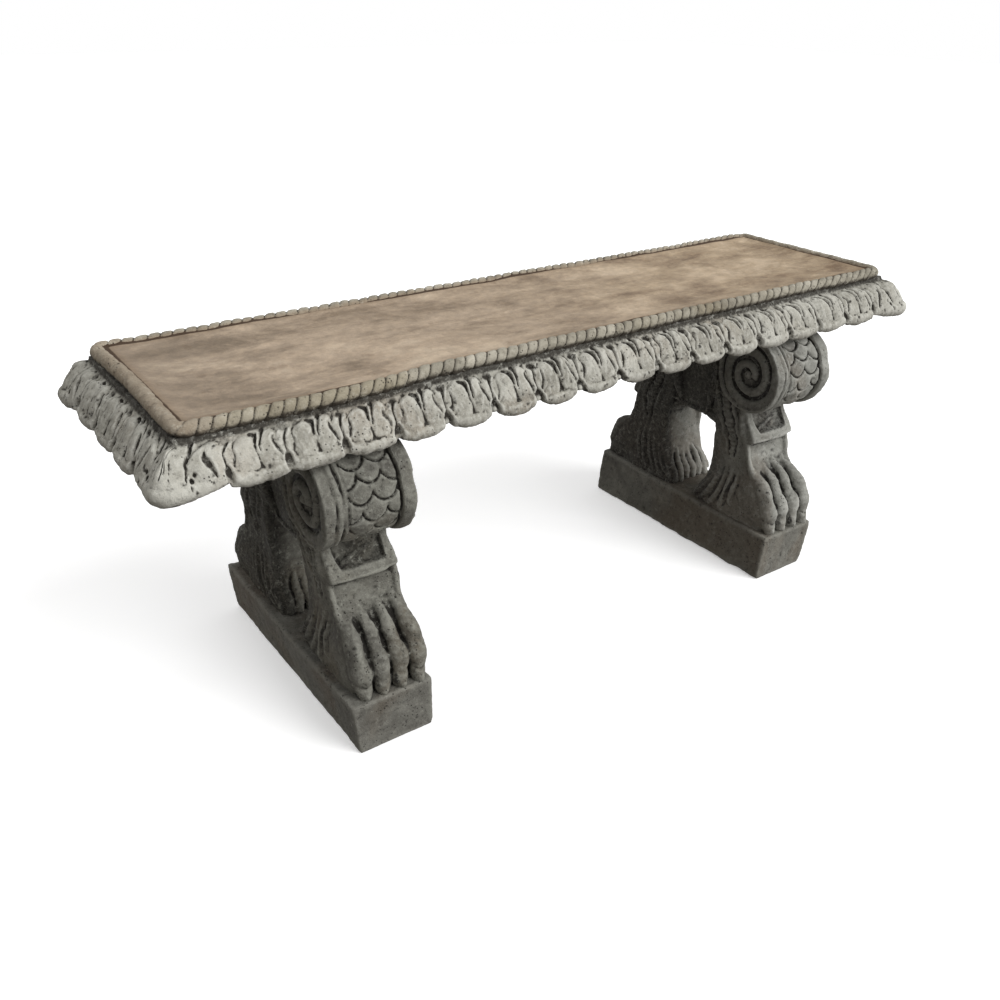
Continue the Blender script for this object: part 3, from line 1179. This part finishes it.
def mortar():
    """Sandy setting mortar."""
    f = Finish("setting_mortar", 0.93)
    sand = f.noise(520, 3, 0.7)
    patches = f.total((sand, 0.6), (f.noise(40, 3), 0.4))
    colour = f.ramp(patches, [(0.38, tone(112, 106, 96)), (0.62, tone(168, 162, 150))])
    return f.done(colour, sand, 0.0006)


# each casting's light, middle, dark, wash and stain tones, the hollow depths of its wash, its
# dusting and grain, and the tone of its cover
stones = {
    "leaf": ((186, 185, 177), (155, 153, 144), (114, 111, 102), (44, 41, 36), (150, 141, 128),
             (0.02, 0.17), 0.7, 1.0, None),
    "rope": ((176, 171, 158), (142, 137, 124), (104, 98, 86), (46, 40, 33), (136, 126, 104),
             (0.0, 0.26), 0.4, 1.0, tone(132, 117, 99)),
    "left_pedestal": ((138, 138, 130), (103, 102, 95), (74, 72, 67), (31, 29, 25), (96, 88, 74),
                      (0.03, 0.22), 0.5, 1.4, None),
    "right_pedestal": ((164, 164, 158), (124, 124, 118), (90, 88, 83), (33, 31, 28), (106, 97, 86),
                       (0.03, 0.22), 0.5, 1.0, None),
    "plinth": ((128, 127, 120), (102, 101, 95), (76, 74, 69), (34, 32, 28), (88, 76, 62),
               (0.05, 0.26), 0.45, 1.3, None),
    "underside": ((142, 140, 132), (118, 115, 108), (96, 93, 86), (60, 56, 50), (112, 100, 86),
                  (0.1, 0.4), 0.2, 1.0, None),
}
finishes = {name: cast_stone(f"{name}_stone", *(tone(*colour) for colour in row[:5]), *row[5:])
            for name, row in stones.items()}
finishes.update(panel=panel_stone(), steel=rusty_steel(), mortar=mortar())


def dress(piece, finish, node):
    """Gives a piece its finish, its body and the CAD node it stands for."""
    piece.data.materials.clear()
    piece.data.materials.append(finishes[finish])
    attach(piece, "root")
    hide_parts(node)


# ---- Camera, light and floor ---------------------------------------------------------------
camera_place = (-0.76124, -0.97328, 0.78701)             # m
camera_turn = (35.79, 27.8, 1.01)                        # to the right, down and clockwise, degrees
camera_lens, camera_sensor = 35.15, 36.0


def set_camera():
    """A camera in front of the bench's left end that looks down on the seat."""
    yaw, pitch, roll = (math.radians(angle) for angle in camera_turn)
    ahead = Vector((math.sin(yaw) * math.cos(pitch), math.cos(yaw) * math.cos(pitch), -math.sin(pitch)))
    level = Vector((math.cos(yaw), -math.sin(yaw), 0))
    over = level.cross(ahead)
    right = level * math.cos(roll) + over * math.sin(roll)
    up = over * math.cos(roll) - level * math.sin(roll)
    data = bpy.data.cameras.new("camera")
    data.lens, data.sensor_width = camera_lens, camera_sensor
    camera = bpy.data.objects.new("camera", data)
    turned = Matrix((right, up, -ahead)).transposed().to_4x4()
    camera.matrix_world = Matrix.Translation(camera_place) @ turned
    bpy.context.scene.collection.objects.link(camera)
    bpy.context.scene.camera = camera


sky_strength, sky_colour = 0.56, (1.0, 1.0, 1.0)
shade_strength, shade_colour = 0.10, (1.0, 0.88, 0.74)   # from below and from the far left
sky_towards = (0.28, -0.22, 0.93)                        # the middle of the bright part of the sky
sky_edge = 0.30                                          # it fades to shade this far past a right angle
backdrop = (1.0, 1.0, 1.0)                               # what the camera sees of the sky
# each lamp: name, where it stands as seen from the bench, strength, spread in degrees
lamps = (("key", (0.50, -0.85, 0.66), 2.7, 45), ("rim", (-0.3, 0.6, 0.8), 0.4, 60))
floor_reach, floor_level = 12, -0.0004                   # m


def set_stage():
    """A white studio: a sky that dims and warms towards the ground and the far left, one broad
    soft light from the front right, a faint one from behind, and a pale floor."""
    scene = bpy.context.scene
    scene.view_settings.view_transform = "Standard"
    world = bpy.data.worlds.new("studio")
    scene.world = world
    world.use_nodes = True
    sky = Graph(world.node_tree)
    seen = sky.node("ShaderNodeLightPath").outputs["Is Camera Ray"]
    ray = sky.node("ShaderNodeTexCoord").outputs["Generated"]
    facing = sky.node("ShaderNodeVectorMath", {0: ray, 1: sky_towards}, operation="DOT_PRODUCT")
    facing = facing.outputs["Value"]
    lit = sky.range(facing, -sky_edge, sky_edge, shade_strength, sky_strength, "LINEAR")
    colour = sky.mix(sky.range(facing, -sky_edge, sky_edge, curve="LINEAR"), shade_colour, sky_colour)
    background = world.node_tree.nodes["Background"]
    for name, value in (("Color", sky.mix(seen, colour, backdrop)),
                        ("Strength", sky.range(seen, 0.0, 1.0, lit, 1.0, "LINEAR"))):
        sky.tree.links.new(value, background.inputs[name])
    for name, towards, strength, spread in lamps:
        data = bpy.data.lights.new(name, "SUN")
        data.energy, data.angle = strength, math.radians(spread)
        lamp = bpy.data.objects.new(name, data)
        lamp.rotation_euler = Vector(towards).to_track_quat("Z", "Y").to_euler()
        scene.collection.objects.link(lamp)
    mesh = bpy.data.meshes.new("floor")
    corners = [(x * floor_reach, y * floor_reach, floor_level)
               for x, y in ((-1, -1), (1, -1), (1, 1), (-1, 1))]
    mesh.from_pydata(corners, [], [(0, 1, 2, 3)])
    floor = bpy.data.objects.new("floor", mesh)
    scene.collection.objects.link(floor)
    f = Finish("floor", 0.9)
    f.shader.inputs["Base Color"].default_value = (0.95, 0.95, 0.95, 1)
    f.shader.inputs["Emission Color"].default_value = (1, 1, 1, 1)
    f.shader.inputs["Emission Strength"].default_value = 0.35
    mesh.materials.append(f.material)
    floor.visible_diffuse = False


# ---- Assembly ------------------------------------------------------------------------------
set_camera()

legs = build_pedestal_clay()
shelter_wash(legs)
weather(legs, 2, rough=((34, 0.9), (11, 0.3), (5, 0.16)), pits=170, pit_size=(0.8, 1.5))
# each casting stands a little differently: its seed, how far its plinth's foot and top are shifted
# and the top's half width, then how far its paws and its volutes are shifted
stances = {"left": (31, (3, -1, 53), 3.5, -7), "right": (32, (-6, 6, 51), 8, 2.5)}
for side, (seed, plinth, paws, head) in stances.items():
    place, node = (pedestal_x[side], 0, 0), f"{side}_pedestal"
    carved = casting(f"{side}_pedestal_legs", legs, carved_triangles, place,
                     wrap=lambda points: lean_over(points, paws, head))
    dress(carved, node, node)
    block = casting(f"{side}_pedestal_plinth", build_plinth_clay(seed, *plinth), plain_triangles, place)
    dress(block, "plinth", node)

for build, finish in ((build_leaf_edge, "leaf"), (build_rope, "rope"), (build_panel, "panel"),
                      (build_underside, "underside")):
    dress(build(), finish, "seat_slab")

for name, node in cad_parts.items():
    if name.endswith("_bed"):
        finish = "mortar"
    elif "bar" in name or "dowel" in name:
        finish = "steel"
    else:
        continue
    for slot in node.material_slots:
        slot.material = finishes[finish]

set_stage()
